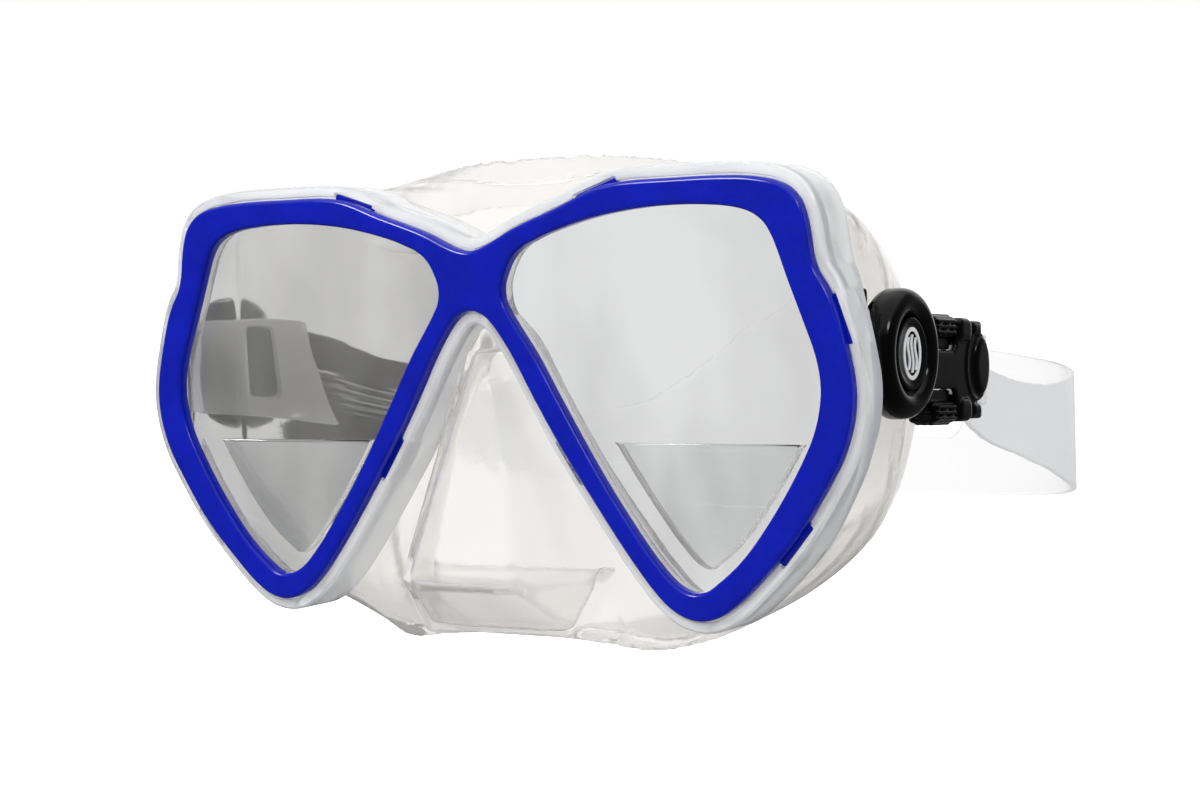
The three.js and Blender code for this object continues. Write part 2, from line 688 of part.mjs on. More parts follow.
function webOutline(side) {
  const near = BODY_V + side * WEB_LOW;
  const far = BODY_V + side * BODY_HALF_HEIGHT;
  return [[ARM_START, near], [ARM_START + WEB_LENGTH, near], [ARM_START + WEB_LENGTH, far], [ARM_START, far]];
}

function buckleBody() {
  const spine = [[8, BODY_V - 3.2], [15, BODY_V - 3.2], [15, BODY_V + 3.2], [8, BODY_V + 3.2]];
  const parts = [
    plate(circle(PUCK_RADIUS, 40), PUCK_INNER_X, PUCK_OUTER_X),
    plate(coverOutline(), COVER_INNER_X, BODY_OUTER_X),
    plate(spine, SPINE_INNER_X, BODY_OUTER_X),
  ];
  for (const side of [-1, 1]) {
    parts.push(plate(armOutline(side), BASE_INNER_X, BODY_OUTER_X));
    parts.push(plate(webOutline(side), WEB_INNER_X, BODY_OUTER_X));
  }
  const reach = BODY_HALF_HEIGHT + 2;
  const pinLow = BODY_V - PAWL_PIN_REACH - GAP;
  const pinHigh = BODY_V + PAWL_PIN_REACH + GAP;
  const holes = [
    plate(circle(RECESS_RADIUS, 32), PUCK_OUTER_X - RECESS_DEPTH, PUCK_OUTER_X + 1),
    plate(circle(PIN_RADIUS + GAP, 24), PUCK_INNER_X - 1, PUCK_OUTER_X + 1),
    uprightCylinder(AXLE_RADIUS + GAP, BODY_V - reach, BODY_V + reach, [ROLLER_X, ROLLER_U], 16),
    uprightCylinder(PAWL_PIN_RADIUS + GAP, pinLow, pinHigh, [PAWL_X, PAWL_U], 14),
  ];
  return droop(joinAll(parts).subtract(joinAll(holes)));
}

function hubCap() {
  const low = PUCK_OUTER_X - RECESS_DEPTH + GAP;
  const disc = plate(circle(RECESS_RADIUS - GAP, 32), low, PUCK_OUTER_X - 0.8);
  const mark = plate(circle(3.4, 24), PUCK_OUTER_X - 1, PUCK_OUTER_X - 0.4);
  return droop(disc.add(mark));
}

function button(side) {
  const near = BODY_V + side * BUTTON_INNER;
  const far = BODY_V + side * BUTTON_OUTER;
  const outline = [[BUTTON_START, near], [BUTTON_END, near], [BUTTON_END, far - side],
    [BUTTON_END - 1, far], [BUTTON_START + 1, far], [BUTTON_START, far - side]];
  const head = plate(side > 0 ? outline : outline.reverse(), WEB_INNER_X, BODY_OUTER_X - 0.1);
  const ends = [near + side * 0.5, BODY_V + side * STEM_REACH];
  const stem = box(
    [STEM_XS[0], STEM_US[0], Math.min(...ends)],
    [STEM_XS[1], STEM_US[1], Math.max(...ends)],
  );
  const rib = [far - side * GROOVE_HALF, far + side];
  const grooves = [];
  for (let i = 0; i < GROOVES; i += 1) {
    const u = BUTTON_START + 2 + i * GROOVE_STEP;
    grooves.push(box(
      [WEB_INNER_X - 1, u - GROOVE_HALF, Math.min(...rib)],
      [BODY_OUTER_X + 1, u + GROOVE_HALF, Math.max(...rib)],
    ));
  }
  return droop(head.add(stem).subtract(joinAll(grooves)));
}

function buttonSpring() {
  const rings = [];
  for (let i = 0; i <= SPRING_STEPS; i += 1) {
    const turn = (2 * Math.PI * SPRING_TURNS * i) / SPRING_STEPS;
    const v = BODY_V - SPRING_HALF + (2 * SPRING_HALF * i) / SPRING_STEPS;
    const ring = [];
    for (let j = 0; j < SPRING_SIDES; j += 1) {
      const around = (2 * Math.PI * j) / SPRING_SIDES;
      const reach = SPRING_RADIUS + SPRING_WIRE * Math.cos(around);
      ring.push([
        SPRING_X + reach * Math.cos(turn),
        SPRING_U + reach * Math.sin(turn),
        v + SPRING_WIRE * Math.sin(around),
      ]);
    }
    rings.push(ring);
  }
  return droop(loft(rings));
}

function roller() {
  const reach = ARM_INNER - GAP;
  const spot = [ROLLER_X, ROLLER_U];
  const drum = uprightCylinder(ROLLER_RADIUS, BODY_V - reach, BODY_V + reach, spot, 20);
  const bore = uprightCylinder(AXLE_RADIUS + GAP, BODY_V - reach - 1, BODY_V + reach + 1, spot, 16);
  return droop(drum.subtract(bore));
}

function rollerAxle() {
  const reach = BODY_HALF_HEIGHT - 0.4;
  const spot = [ROLLER_X, ROLLER_U];
  return droop(uprightCylinder(AXLE_RADIUS, BODY_V - reach, BODY_V + reach, spot, 16));
}

// Half of the pawl's outline as [length, half thickness], from its tail to its tip.
const PAWL_HALF = [[19.4, 0.5], [22.4, 1.4], [PAWL_U, 1.7], [PAWL_U + 1.6, 1], [27.4, 0.6]];
const PAWL_TIP_U = 27.9;

// The pawl is drawn in length and X. Its tip stands in front of the strap where it rounds the roller.
function pawl() {
  const near = PAWL_HALF.map(([u, half]) => [PAWL_X - half, u]);
  const far = PAWL_HALF.map(([u, half]) => [PAWL_X + half, u]).reverse();
  const outline = flat([...near, [PAWL_X, PAWL_TIP_U], ...far]);
  const options = { depth: 2 * PAWL_HALF_HEIGHT, bevelEnabled: false };
  const geometry = new THREE.ExtrudeGeometry(outline, options);
  geometry.translate(0, 0, BODY_V - PAWL_HALF_HEIGHT);
  const reach = PAWL_HALF_HEIGHT + 1;
  const spot = [PAWL_X, PAWL_U];
  const bore = uprightCylinder(PAWL_PIN_RADIUS + GAP, BODY_V - reach, BODY_V + reach, spot, 14);
  return droop(toSolid(geometry).subtract(bore));
}

function pawlPin() {
  const spot = [PAWL_X, PAWL_U];
  return droop(uprightCylinder(PAWL_PIN_RADIUS, BODY_V - PAWL_PIN_REACH, BODY_V + PAWL_PIN_REACH, spot, 14));
}

// ---------------------------------------------------------------- strap

// A station of the strap at a place in the buckle's own length and X.
function buckleStation(x, u) {
  const turn = (-DROOP_DEG * Math.PI) / 180;
  const at = new THREE.Vector3(
    x,
    depth(PIVOT_DEPTH) + u * Math.cos(turn) - BODY_V * Math.sin(turn),
    PIVOT_Z + u * Math.sin(turn) + BODY_V * Math.cos(turn),
  );
  return { at, lean: turn, height: STRAP_HEIGHT };
}

// From the tail outside the buckle, round the roller, to the middle of the band at the back.
function strapStations() {
  const stations = [buckleStation(ROLLER_X + STRAP_CENTRE_RADIUS, STRAP_TAIL_U)];
  for (let i = 0; i <= 8; i += 1) {
    const turn = (Math.PI * i) / 8;
    const x = ROLLER_X + STRAP_CENTRE_RADIUS * Math.cos(turn);
    stations.push(buckleStation(x, ROLLER_U - STRAP_CENTRE_RADIUS * Math.sin(turn)));
  }
  const knots = STRAP_RUN.map(([x, y, z]) => new THREE.Vector3(x, depth(y), z));
  const beyond = mirrorPoint(knots[knots.length - 2]);
  const run = new THREE.CatmullRomCurve3([...knots, beyond], false, 'centripetal');
  for (let i = 0; i <= STRAP_STEPS; i += 1) {
    const place = (i / STRAP_STEPS) * (STRAP_RUN.length - 1);
    const index = Math.min(Math.floor(place), STRAP_RUN.length - 2);
    const share = place - index;
    const height = STRAP_RUN[index][3] * (1 - share) + STRAP_RUN[index + 1][3] * share;
    const at = run.getPoint(place / STRAP_RUN.length);
    const fade = Math.max(0, 1 - (at.y - depth(STRAP_LEAN_START)) / STRAP_LEAN_RUN);
    stations.push({ at, lean: (fade * -DROOP_DEG * Math.PI) / 180, height });
  }
  return stations;
}

function mirrorPoint(point) {
  return new THREE.Vector3(-point.x, point.y, point.z);
}

function strap() {
  const near = strapStations();
  const far = near.slice(0, -1).reverse().map((s) => ({ ...s, at: mirrorPoint(s.at) }));
  const stations = [...near, ...far];
  const rings = stations.map((station, i) => {
    const before = stations[Math.max(0, i - 1)].at;
    const after = stations[Math.min(stations.length - 1, i + 1)].at;
    const up = new THREE.Vector3(0, -Math.sin(station.lean), Math.cos(station.lean));
    const side = new THREE.Vector3().crossVectors(after.clone().sub(before), up).normalize();
    return [[-1, -1], [1, -1], [1, 1], [-1, 1]].map(([a, b]) => {
      const point = station.at.clone();
      point.addScaledVector(side, (a * STRAP_THICK) / 2);
      point.addScaledVector(up, (b * station.height) / 2);
      return [point.x, point.y, point.z];
    });
  });
  const slotEnds = circle(STRAP_SLOT_HEIGHT / 2, 20, [0, STRAP_SLOT_Z]).map(([x, z]) => {
    const reach = STRAP_SLOT_HALF - STRAP_SLOT_HEIGHT / 2;
    return [x + Math.sign(x || 1) * reach, z];
  });
  return loft(rings).subtract(slab(slotEnds, 100, 170));
}

// ---------------------------------------------------------------- assembly

function piece(name, body, finish) {
  const material = new THREE.MeshStandardMaterial(finish);
  const mesh = new THREE.Mesh(toGeometry(body), material);
  mesh.name = name;
  return mesh;
}

function build() {
  const whole = new THREE.Group();
  whole.name = 'diving_mask';
  whole.add(piece('skirt', skirt(), SILICONE));
  whole.add(piece('frame', frame(), CLEAR));
  whole.add(piece('bezel', bezel(), BLUE));
  whole.add(piece('strap', strap(), SILICONE));
  const sided = [
    ['lens', lens(), GLASS],
    ['reader_lens', readerLens(), GLASS],
    ['buckle_base', buckleBase(), BLACK],
    ['pivot_pin', pivotPin(), STEEL],
    ['buckle_body', buckleBody(), BLACK],
    ['hub_cap', hubCap(), EMBLEM],
    ['upper_button', button(1), BLACK],
    ['lower_button', button(-1), BLACK],
    ['button_spring', buttonSpring(), STEEL],
    ['pawl', pawl(), BLACK],
    ['pawl_pin', pawlPin(), STEEL],
    ['roller', roller(), BLACK],
    ['roller_axle', rollerAxle(), STEEL],
  ];
  for (const [name, body, finish] of sided) {
    whole.add(piece(`left_${name}`, body, finish));
    whole.add(piece(`right_${name}`, body.mirror([1, 0, 0]), finish));
  }
  return whole;
}

export default build();
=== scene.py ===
"""Looks of a two-window diving mask: clear skirt and frame, blue bezel, black strap buckles."""

import bmesh
import bpy
import json
import math
from mathutils import Matrix, Vector
from mathutils.geometry import tessellate_polygon


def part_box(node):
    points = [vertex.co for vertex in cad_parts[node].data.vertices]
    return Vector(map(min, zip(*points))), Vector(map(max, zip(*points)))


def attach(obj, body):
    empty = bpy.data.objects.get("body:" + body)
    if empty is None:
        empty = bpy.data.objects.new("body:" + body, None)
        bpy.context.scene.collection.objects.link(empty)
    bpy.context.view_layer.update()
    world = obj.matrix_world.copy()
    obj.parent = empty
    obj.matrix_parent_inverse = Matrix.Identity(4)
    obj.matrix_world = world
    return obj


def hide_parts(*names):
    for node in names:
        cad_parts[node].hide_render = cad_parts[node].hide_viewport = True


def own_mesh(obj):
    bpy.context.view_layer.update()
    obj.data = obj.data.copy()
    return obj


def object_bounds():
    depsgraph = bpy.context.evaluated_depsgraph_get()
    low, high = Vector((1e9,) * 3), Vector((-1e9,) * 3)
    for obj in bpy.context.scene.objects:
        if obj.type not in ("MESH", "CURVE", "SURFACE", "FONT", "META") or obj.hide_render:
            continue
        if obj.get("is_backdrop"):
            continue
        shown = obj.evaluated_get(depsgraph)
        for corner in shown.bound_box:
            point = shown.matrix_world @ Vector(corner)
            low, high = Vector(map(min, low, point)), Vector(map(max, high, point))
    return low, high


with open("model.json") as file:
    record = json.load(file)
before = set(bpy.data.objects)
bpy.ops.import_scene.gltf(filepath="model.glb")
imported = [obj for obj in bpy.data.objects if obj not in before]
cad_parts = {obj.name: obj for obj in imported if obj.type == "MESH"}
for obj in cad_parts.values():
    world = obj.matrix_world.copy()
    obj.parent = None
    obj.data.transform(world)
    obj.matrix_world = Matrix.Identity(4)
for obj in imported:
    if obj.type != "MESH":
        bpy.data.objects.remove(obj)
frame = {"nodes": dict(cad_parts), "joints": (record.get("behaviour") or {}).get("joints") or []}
cad_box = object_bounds()

MM = 0.001
SIDES = (("left", 1), ("right", -1))

# ---------------------------------------------------------------- places taken from the frame

LENS_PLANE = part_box("frame")[0].y / MM
BEZEL_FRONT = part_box("bezel")[0].y
LENS_LOW, LENS_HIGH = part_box("left_lens")
READER_LOW, READER_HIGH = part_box("left_reader_lens")
PIN_RECESS = 0.6
BASE_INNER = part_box("left_pivot_pin")[0].x / MM - PIN_RECESS
GAP = 0.3
LUG_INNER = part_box("left_buckle_base")[0].x / MM - GAP
LUG_THICK = 2
LUG_OUTER = LUG_INNER + LUG_THICK
PUCK_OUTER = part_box("left_buckle_body")[1].x / MM
PUCK_PROUD = 1.8
BODY_THICK = 4.8
BODY_OUTER = PUCK_OUTER - PUCK_PROUD
PUCK_INNER = BODY_OUTER - BODY_THICK
SWIVEL = next(joint for joint in frame["joints"] if joint["name"] == "left_buckle_swivel")
PIVOT = [value / MM for value in SWIVEL["pos_m"]]
DROOP = math.radians(3)
BEZEL_BEVEL = 0.7
FRAME_RIM = 2.4


# ---------------------------------------------------------------- mesh helpers, in millimetres

def depth(value):
    """The y of a place that far behind the lens plane."""
    return LENS_PLANE + value


def front_place(a, b, height):
    """From an outline in X and Z with a depth to the row frame."""
    return Vector((a, depth(height), b))


def buckle_place(side):
    """From the buckle's length, height and distance from the middle plane to the row frame."""
    def place(a, b, height):
        return Vector((
            side * height,
            PIVOT[1] + a * math.cos(DROOP) + b * math.sin(DROOP),
            PIVOT[2] - a * math.sin(DROOP) + b * math.cos(DROOP),
        ))
    return place


def temple_place(side):
    """From depth and height to the row frame, for parts fixed to the side of the frame."""
    def place(a, b, height):
        return Vector((side * height, depth(a), b))
    return place


def upright_place(side):
    """From an outline in X and depth with a height to the row frame."""
    def place(a, b, height):
        return Vector((side * a, depth(b), height))
    return place


def new_object(name, mesh):
    """A mesh object that is part of the scene."""
    obj = bpy.data.objects.new(name, mesh)
    bpy.context.scene.collection.objects.link(obj)
    return obj


def from_lists(name, points, faces):
    """A mesh object in metres from points in millimetres."""
    mesh = bpy.data.meshes.new(name)
    mesh.from_pydata([Vector(p) * MM for p in points], [], faces)
    work = bmesh.new()
    work.from_mesh(mesh)
    bmesh.ops.remove_doubles(work, verts=work.verts, dist=1e-7)
    bmesh.ops.recalc_face_normals(work, faces=work.faces)
    work.to_mesh(mesh)
    work.free()
    return new_object(name, mesh)


def node_copy(name, node):
    """A free, welded copy of a CAD node's mesh."""
    source = frame["nodes"][node].data
    work = bmesh.new()
    work.from_mesh(source)
    bmesh.ops.remove_doubles(work, verts=work.verts, dist=2e-6)
    mesh = bpy.data.meshes.new(name)
    work.to_mesh(mesh)
    work.free()
    return new_object(name, mesh)


def apply_modifiers(obj):
    """Replaces an object's mesh by what its modifiers make of it."""
    graph = bpy.context.evaluated_depsgraph_get()
    mesh = bpy.data.meshes.new_from_object(obj.evaluated_get(graph))
    old = obj.data
    obj.modifiers.clear()
    obj.data = mesh
    mesh.name = obj.name
    bpy.data.meshes.remove(old)
    return obj


def remeshed(obj, voxel, rounds):
    """One even skin round everything in the object, softened at its corners."""
    remesh = obj.modifiers.new("remesh", "REMESH")
    remesh.mode = "VOXEL"
    remesh.voxel_size = voxel * MM
    remesh.adaptivity = 0
    soften = obj.modifiers.new("soften", "SMOOTH")
    soften.factor = 0.5
    soften.iterations = rounds
    return apply_modifiers(obj)


def joined(name, objects):
    """One object from several, with their meshes side by side."""
    work = bmesh.new()
    for obj in objects:
        work.from_mesh(obj.data)
        old = obj.data
        bpy.data.objects.remove(obj)
        bpy.data.meshes.remove(old)
    mesh = bpy.data.meshes.new(name)
    work.to_mesh(mesh)
    work.free()
    return new_object(name, mesh)


def combined(obj, others, operation):
    """Adds or cuts closed meshes exactly, and removes them."""
    for other in others:
        tool = obj.modifiers.new("tool", "BOOLEAN")
        tool.operation = operation
        tool.solver = "EXACT"
        tool.object = other
    apply_modifiers(obj)
    for other in others:
        old = other.data
        bpy.data.objects.remove(other)
        bpy.data.meshes.remove(old)
    return obj


def smooth(obj, angle):
    """Smooth shading with edges kept where faces meet at more than the angle, in degrees."""
    obj.data.shade_smooth()
    obj.data.set_sharp_from_angle(angle=math.radians(angle))
    return obj


# ---------------------------------------------------------------- outlines

def rings_at(node, y):
    """The closed rings of a CAD node's vertices at one y, as lists of (x, z) in millimetres."""
    work = bmesh.new()
    work.from_mesh(frame["nodes"][node].data)
    bmesh.ops.remove_doubles(work, verts=work.verts, dist=2e-6)
    near = {v for v in work.verts if abs(v.co.y - y) < 2e-5}
    links = {v: [] for v in near}
    for edge in work.edges:
        first, second = edge.verts
        if first in near and second in near and len(edge.link_faces) == 2:
            flat = [abs(face.normal.y) > 0.999 for face in edge.link_faces]
            if not all(flat):
                links[first].append(second)
                links[second].append(first)
    rings = []
    left = {v for v in near if len(links[v]) == 2}
    while left:
        start = min(left, key=lambda v: (round(v.co.x, 6), round(v.co.z, 6)))
        ring = [start]
        left.discard(start)
        following = [v for v in links[start] if v in left]
        while following:
            ring.append(following[0])
            left.discard(following[0])
            following = [v for v in links[ring[-1]] if v in left]
        if len(ring) > 8:
            rings.append([(v.co.x / MM, v.co.z / MM) for v in ring])
    work.free()
    return sorted(rings, key=len, reverse=True)


def curve_through(points, each):
    """A closed smooth outline through points, with some more between each two."""
    count = len(points)
    fine = []
    for i in range(count):
        p0, p1, p2, p3 = (Vector(points[(i + k) % count]) for k in (-1, 0, 1, 2))
        for j in range(each):
            t = j / each
            fine.append(tuple(0.5 * (
                2 * p1 + (p2 - p0) * t
                + (2 * p0 - 5 * p1 + 4 * p2 - p3) * t * t
                + (3 * p1 - p0 - 3 * p2 + p3) * t * t * t
            )))
    return fine


def signed_area(points):
    """The area inside an outline, negative if it runs clockwise."""
    following = points[1:] + points[:1]
    return sum(x * v - u * y for (x, y), (u, v) in zip(points, following)) / 2


def offset(points, distance):
    """An outline moved outwards, or inwards for a negative distance."""
    side = 1 if signed_area(points) > 0 else -1
    count = len(points)
    moved = []
    for i, (x, y) in enumerate(points):
        before, after = points[i - 1], points[(i + 1) % count]
        run = (after[0] - before[0], after[1] - before[1])
        size = math.hypot(*run) or 1
        moved.append((x + side * distance * run[1] / size, y - side * distance * run[0] / size))
    return moved


def ellipse(u, v, count=64, centre=(0, 0)):
    """An ellipse from its two half widths."""
    turns = [2 * math.pi * i / count for i in range(count)]
    return [(centre[0] + u * math.cos(t), centre[1] + v * math.sin(t)) for t in turns]


def rounded_corners(points, radius, steps=6):
    """A polygon with each corner turned into an arc."""
    count = len(points)
    out = []
    for i in range(count):
        here = Vector(points[i])
        before = Vector(points[i - 1]) - here
        after = Vector(points[(i + 1) % count]) - here
        reach = min(radius, before.length * 0.45, after.length * 0.45)
        start = here + before.normalized() * reach
        end = here + after.normalized() * reach
        for k in range(steps + 1):
            t = k / steps
            out.append(tuple(start * (1 - t) ** 2 + here * 2 * t * (1 - t) + end * t * t))
    return out


def mirrored(points):
    """An outline on the other side of the middle plane."""
    return [(-x, y) for x, y in points]


# ---------------------------------------------------------------- plates with rounded edges

def edge_profile(low, high, round_low, round_high, steps=4):
    """(inset, height) pairs of a plate's edge from its low face to its high face."""
    pairs = []
    for i in range(steps + 1):
        turn = math.pi / 2 * i / steps
        pairs.append((round_low * (1 - math.sin(turn)), low + round_low * (1 - math.cos(turn))))
    for i in range(steps + 1):
        turn = math.pi / 2 * i / steps
        pairs.append((round_high * (1 - math.cos(turn)), high - round_high * (1 - math.sin(turn))))
    return pairs


def plate(name, outline, edge, place=front_place, holes=(), hole_edge=None, limit=None):
    """A closed plate: flat low and high faces and an edge that follows (inset, height) pairs.

    With a limit (reach, height, inset), rings above that height and further in than that
    inset stop at that reach on either side of the middle plane.
    """
    points, faces, caps = [], [], []

    def wall(loop, pairs, sign):
        rings = []
        for inset, height in pairs:
            ring = offset(loop, sign * inset) if inset else list(loop)
            if limit and height > limit[1] and inset > limit[2]:
                ring = [(max(-limit[0], min(limit[0], a)), b) for a, b in ring]
            rings.append([(a, b, height) for a, b in ring])
        start = len(points)
        count = len(loop)
        for ring in rings:
            points.extend(ring)
        for i in range(len(rings) - 1):
            for j in range(count):
                k = (j + 1) % count
                low, high = start + i * count, start + (i + 1) * count
                faces.append((low + j, low + k, high + k, high + j))
        last = start + (len(rings) - 1) * count
        return range(start, start + count), range(last, last + count)

    caps.append(wall(outline, edge, -1))
    for hole in holes:
        caps.append(wall(hole, hole_edge or edge, 1))
    for end in (0, 1):
        index = [k for cap in caps for k in cap[end]]
        loops = [[Vector((points[k][0], points[k][1], 0)) for k in cap[end]] for cap in caps]
        for triangle in tessellate_polygon(loops):
            faces.append(tuple(index[k] for k in triangle))
    return from_lists(name, [place(*p) for p in points], faces)


def lathe(name, profile, place, count=96):
    """A closed ring turned round an axis: profile is a closed loop of (radius, height)."""
    points, faces = [], []
    size = len(profile)
    for i in range(count):
        turn = 2 * math.pi * i / count
        for radius, height in profile:
            points.append(place(radius * math.cos(turn), radius * math.sin(turn), height))
    for i in range(count):
        for j in range(size):
            a, b = i * size + j, i * size + (j + 1) % size
            c = ((i + 1) % count) * size
            faces.append((a, b, c + (j + 1) % size, c + j))
    return from_lists(name, points, faces)


# ---------------------------------------------------------------- materials

class Shader:
    """A Principled material and short ways to add procedural detail to it."""

    def __init__(self, name, **values):
        self.material = bpy.data.materials.new(name)
        self.material.use_nodes = True
        self.tree = self.material.node_tree
        self.surface = self.tree.nodes["Principled BSDF"]
        for key, value in values.items():
            socket = self.surface.inputs[key.replace("_", " ")]
            socket.default_value = value if not isinstance(value, tuple) else (*value, 1)[:4]
        self.place = self.tree.nodes.new("ShaderNodeTexCoord").outputs["Object"]

    def noise(self, scale, detail=3, rough=0.5, stretch=None):
        """Noise from 0 to 1 with that many cycles to the metre."""
        node = self.tree.nodes.new("ShaderNodeTexNoise")
        node.inputs["Scale"].default_value = scale
        node.inputs["Detail"].default_value = detail
        node.inputs["Roughness"].default_value = rough
        start = self.place
        if stretch:
            mapping = self.tree.nodes.new("ShaderNodeMapping")
            mapping.inputs["Scale"].default_value = stretch
            self.tree.links.new(start, mapping.inputs["Vector"])
            start = mapping.outputs["Vector"]
        self.tree.links.new(start, node.inputs["Vector"])
        return node.outputs["Fac"]

    def ranged(self, source, low, high, start=0.3, end=0.7):
        """The source from start to end turned into low to high."""
        node = self.tree.nodes.new("ShaderNodeMapRange")
        node.inputs["From Min"].default_value = start
        node.inputs["From Max"].default_value = end
        node.inputs["To Min"].default_value = low
        node.inputs["To Max"].default_value = high
        self.tree.links.new(source, node.inputs["Value"])
        return node.outputs["Result"]

    def ramp(self, source, stops):
        """Colours from (place, colour) stops."""
        node = self.tree.nodes.new("ShaderNodeValToRGB")
        elements = node.color_ramp.elements
        while len(elements) < len(stops):
            elements.new(0.5)
        for element, (at, colour) in zip(elements, stops):
            element.position = at
            element.color = (*colour, 1)
        self.tree.links.new(source, node.inputs["Fac"])
        return node.outputs["Color"]

    def drive(self, socket, source):
        """Links a source to one of the surface's inputs."""
        self.tree.links.new(source, self.surface.inputs[socket])

    def bump(self, source, strength, distance):
        """Adds fine relief, with its depth in metres."""
        node = self.tree.nodes.new("ShaderNodeBump")
        node.inputs["Strength"].default_value = strength
        node.inputs["Distance"].default_value = distance
        self.tree.links.new(source, node.inputs["Height"])
        previous = self.surface.inputs["Normal"].links
        if previous:
            self.tree.links.new(previous[0].from_socket, node.inputs["Normal"])
        self.tree.links.new(node.outputs["Normal"], self.surface.inputs["Normal"])

    def lit_through(self, tint):
        """Lets the light that falls on things behind this surface pass, tinted."""
        clear = self.tree.nodes.new("ShaderNodeBsdfTransparent")
        clear.inputs["Color"].default_value = (*tint, 1)
        choose = self.tree.nodes.new("ShaderNodeMixShader")
        rays = self.tree.nodes.new("ShaderNodeLightPath")
        self.tree.links.new(rays.outputs["Is Shadow Ray"], choose.inputs["Fac"])
        self.tree.links.new(self.surface.outputs["BSDF"], choose.inputs[1])
        self.tree.links.new(clear.outputs["BSDF"], choose.inputs[2])
        output = self.tree.nodes["Material Output"]
        self.tree.links.new(choose.outputs["Shader"], output.inputs["Surface"])


def silicone_material(name, tint, clear, haze_low, haze_high):
    """Slightly cloudy soft silicone."""
    shader = Shader(name, Transmission_Weight=clear, IOR=1.3, Specular_IOR_Level=0.4)
    cloud = shader.noise(70, 4)
    shader.drive("Base Color", shader.ramp(cloud, [
        (0.3, tuple(value * 0.975 for value in tint)), (0.7, tint)]))
    shader.drive("Roughness", shader.ranged(shader.noise(240, 3), haze_low, haze_high))
    shader.bump(shader.noise(900, 2), 0.12, 0.0002)
    shader.lit_through((0.92, 0.915, 0.905))
    return shader


def strap_material():
    """Milky where the strap is doubled in the buckles, clearer round the back."""
    shader = silicone_material("strap_silicone", MILKY, 0.4, 0.3, 0.42)
    split = shader.tree.nodes.new("ShaderNodeSeparateXYZ")
    shader.tree.links.new(shader.place, split.inputs[0])
    back = split.outputs["Y"]
    shader.drive("Transmission Weight", shader.ranged(back, 0.4, 0.99, *STRAP_FADE))
    shader.drive("Base Color", shader.ramp(shader.ranged(back, 0, 1, *STRAP_FADE), [
        (0.0, MILKY), (1.0, (0.98, 0.98, 0.98))]))
    return shader.material


def clear_plastic_material():
    """Hard clear plastic with fine scuffs."""
    shader = Shader("clear_polycarbonate", Transmission_Weight=0.62, IOR=1.42)
    shader.drive("Base Color", shader.ramp(shader.noise(40, 2), [
        (0.3, (0.86, 0.87, 0.882)), (0.7, (0.9, 0.908, 0.915))]))
    shader.drive("Roughness", shader.ranged(shader.noise(600, 5, 0.7), 0.03, 0.09))
    shader.bump(shader.noise(160, 2), 0.06, 0.0002)
    shader.lit_through((0.9, 0.9, 0.9))
    return shader.material


def glass_material(name, tint, smeared):
    """Glass with light smears; darker cloud patches in its colour are painted shade, standing in for the
    shade seen through the window.
    """
    shader = Shader(name, Transmission_Weight=1.0, IOR=1.5)
    smear = shader.noise(55, 5, 0.6, (1, 1, 2.5))
    # painted shade: patches where the colour drops to 0.8 of the tint, not a film on the glass
    cloud = shader.noise(26, 3, 0.55, (1.3, 1, 0.6))
    shader.drive("Base Color", shader.ramp(cloud, [
        (0.36, tuple(value * 0.8 for value in tint)), (0.62, tint)]))
    shader.drive("Roughness", shader.ranged(smear, 0, smeared, 0.45, 0.75))
    shader.lit_through((0.95, 0.95, 0.95))
    return shader.material


def blue_material():
    """Glossy moulded blue plastic with a slight orange peel."""
    shader = Shader("blue_bezel_plastic", IOR=1.5, Specular_IOR_Level=0.4)
    shade = shader.noise(120, 4)
    shader.drive("Base Color", shader.ramp(shade, [
        (0.3, (0.0005, 0.007, 0.34)), (0.7, (0.0008, 0.0095, 0.43))]))
    shader.drive("Roughness", shader.ranged(shader.noise(900, 5, 0.7), 0.12, 0.24))
    shader.bump(shader.noise(420, 2), 0.03, 0.0001)
    return shader.material


def black_material(name, low, high, shine):
    """Deep black plastic, with roughness from low to high where it is handled."""
    shader = Shader(name, IOR=1.38, Specular_IOR_Level=shine)
    wear = shader.noise(350, 6, 0.65)
    shader.drive("Base Color", shader.ramp(wear, [
        (0.35, (0.0004, 0.0005, 0.0007)), (0.75, (0.0012, 0.0014, 0.0018))]))
    shader.drive("Roughness", shader.ranged(wear, low, high))
    shader.bump(shader.noise(2200, 2), 0.06, 0.00005)
    return shader.material


def steel_material():
    """Drawn steel with a fine grain along the part."""
    shader = Shader("drawn_steel", Metallic=1.0)
    grain = shader.noise(900, 4, 0.6, (1, 12, 1))
    shader.drive("Base Color", shader.ramp(grain, [
        (0.3, (0.42, 0.43, 0.44)), (0.7, (0.62, 0.63, 0.65))]))
    shader.drive("Roughness", shader.ranged(grain, 0.2, 0.42))
    shader.bump(grain, 0.1, 0.00005)
    return shader.material


def emblem_material():
    """Pale silver print with a fine grain."""
    shader = Shader("emblem_silver", Metallic=0.15, IOR=1.5)
    grain = shader.noise(1500, 4, 0.6)
    shader.drive("Base Color", shader.ramp(grain, [
        (0.3, (0.78, 0.8, 0.82)), (0.7, (0.9, 0.91, 0.92))]))
    shader.drive("Roughness", shader.ranged(grain, 0.28, 0.45))
    return shader.material


MILKY = (0.87, 0.875, 0.885)
STRAP_FADE = (0.068, 0.092)
SKIRT_SILICONE = silicone_material("skirt_silicone", (0.925, 0.915, 0.9), 0.86, 0.08, 0.18).material
STRAP_SILICONE = strap_material()
CLEAR = clear_plastic_material()
# painted shade: the grey tint stands in for the shade inside the mask seen through the windows
GLASS = glass_material("window_glass", (0.79, 0.795, 0.795), 0.02)
READER_GLASS = glass_material("reader_glass", (0.975, 0.985, 0.98), 0.03)
BLUE = blue_material()
BLACK = black_material("buckle_black", 0.1, 0.2, 0.32)
BLACK_SATIN = black_material("button_black", 0.18, 0.3, 0.2)
STEEL = steel_material()
SILVER = emblem_material()


